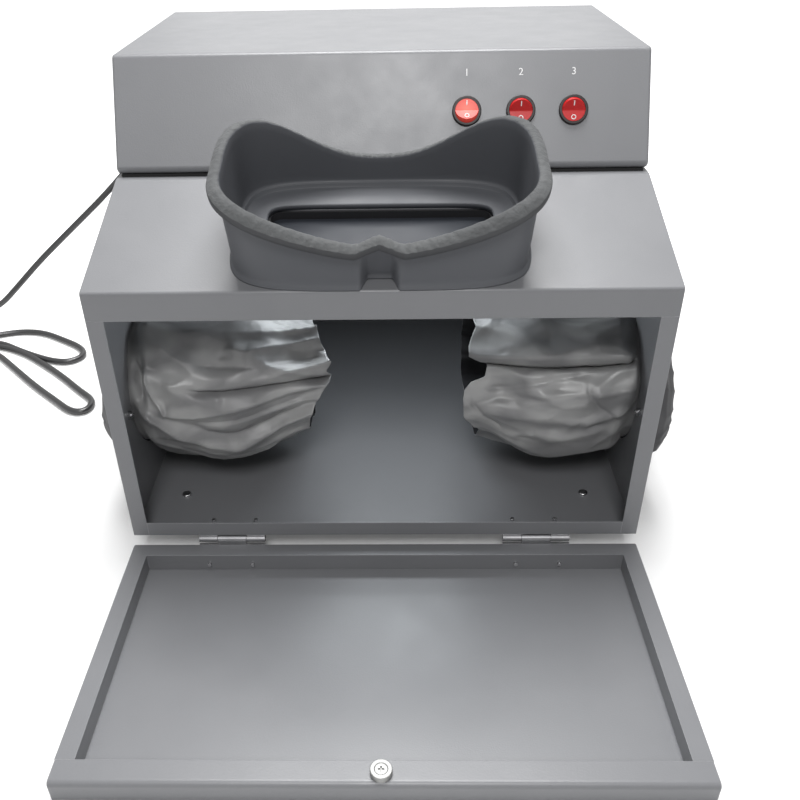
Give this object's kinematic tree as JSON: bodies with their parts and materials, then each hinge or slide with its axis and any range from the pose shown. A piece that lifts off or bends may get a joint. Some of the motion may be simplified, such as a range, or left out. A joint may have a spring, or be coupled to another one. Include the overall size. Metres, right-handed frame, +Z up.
{
  "type": "dark box uv analyzer",
  "caption": "Bench dark box for viewing samples under ultraviolet light, with a drop-down door, arm ports with cloth sleeves, an eye mask over a window and a lamp housing.",
  "frame": {"origin": "on the bench, in the middle of the footprint of the cabinet with its door laid open, the mains lead left out", "axes": "+Z up, +Y from the open door to the back panel, +X to the operator's right"},
  "size_m": [0.8261, 0.6569, 0.3381],
  "materials": {
    "cabinet_paint": "fine satin powder coat",
    "black_paint": "matt",
    "window_glass": "polished",
    "filter_glass": "polished",
    "seal_rubber": "matt",
    "mask_rubber": "matt with a soft sheen",
    "foot_rubber": "matt",
    "cloth": "coated cloth with a soft sheen",
    "steel": "bright",
    "hinge_steel": "satin",
    "magnet": "satin nickel",
    "switch_black": "gloss",
    "rocker_lit": "lit translucent",
    "rocker_red": "translucent gloss",
    "clip_steel": "bright",
    "tube_glass": "polished",
    "tube_white_glass": "frosted white",
    "holder_plastic": "satin",
    "ballast_steel": "satin",
    "terminal_plastic": "satin",
    "cord_rubber": "satin",
    "tie_plastic": "satin"
  },
  "bodies": {
    "cabinet": {"back_panel": "cabinet_paint", "back_screws": "steel", "ballasts": "ballast_steel", "cabinet_floor": "cabinet_paint", "cabinet_side_left": "cabinet_paint", "cabinet_side_right": "cabinet_paint", "cord_gland": "cord_rubber", "cord_tie": "tie_plastic", "cord_tube": "cord_rubber", "cuff_left": "cloth", "cuff_right": "cloth", "eye_mask": "mask_rubber", "filter_clips": "clip_steel", "filter_long_wave": "filter_glass", "filter_short_wave": "filter_glass", "foot_screws": "steel", "hinge_leaves_cabinet": "hinge_steel", "hinge_pins": "steel", "hinge_screws_cabinet": "steel", "hood_panel": "cabinet_paint", "housing_cover": "cabinet_paint", "housing_seal": "seal_rubber", "lamp_deck": "cabinet_paint", "plug": "cord_rubber", "port_ring_left": "black_paint", "port_ring_right": "black_paint", "port_screws": "steel", "reflectors": "clip_steel", "rubber_feet": "foot_rubber", "sleeve_left": "cloth", "sleeve_right": "cloth", "switch_bodies": "switch_black", "terminal_block": "terminal_plastic", "tube_caps": "steel", "tube_holders": "holder_plastic", "tube_long_wave": "tube_glass", "tube_short_wave": "tube_glass", "tube_white": "tube_white_glass", "viewing_glass": "window_glass", "window_frame": "black_paint"},
    "door": {"hinge_leaves_door": "hinge_steel", "door_skin": "cabinet_paint", "door_rim": "cabinet_paint", "door_front_bar": "cabinet_paint", "door_magnet": "magnet", "magnet_screw": "steel", "hinge_screws_door": "steel"},
    "rocker_1": {"rocker_1": "rocker_lit"},
    "rocker_2": {"rocker_2": "rocker_red"},
    "rocker_3": {"rocker_3": "rocker_red"}
  },
  "joints": [
    {"name": "door_hinge", "type": "hinge", "parent": "cabinet", "child": "door", "pos_m": [0, -0.07865, 0.019], "axis": [-1, 0, 0], "range_deg": [0, 90]},
    {"name": "rocker_1_tilt", "type": "hinge", "parent": "cabinet", "child": "rocker_1", "pos_m": [0.061, 0.05708, 0.29732], "axis": [1, 0, 0], "range_deg": [0, 24]},
    {"name": "rocker_2_tilt", "type": "hinge", "parent": "cabinet", "child": "rocker_2", "pos_m": [0.099, 0.05708, 0.29732], "axis": [1, 0, 0], "range_deg": [-24, 0]},
    {"name": "rocker_3_tilt", "type": "hinge", "parent": "cabinet", "child": "rocker_3", "pos_m": [0.136, 0.05708, 0.29732], "axis": [1, 0, 0], "range_deg": [-24, 0]}
  ]
}
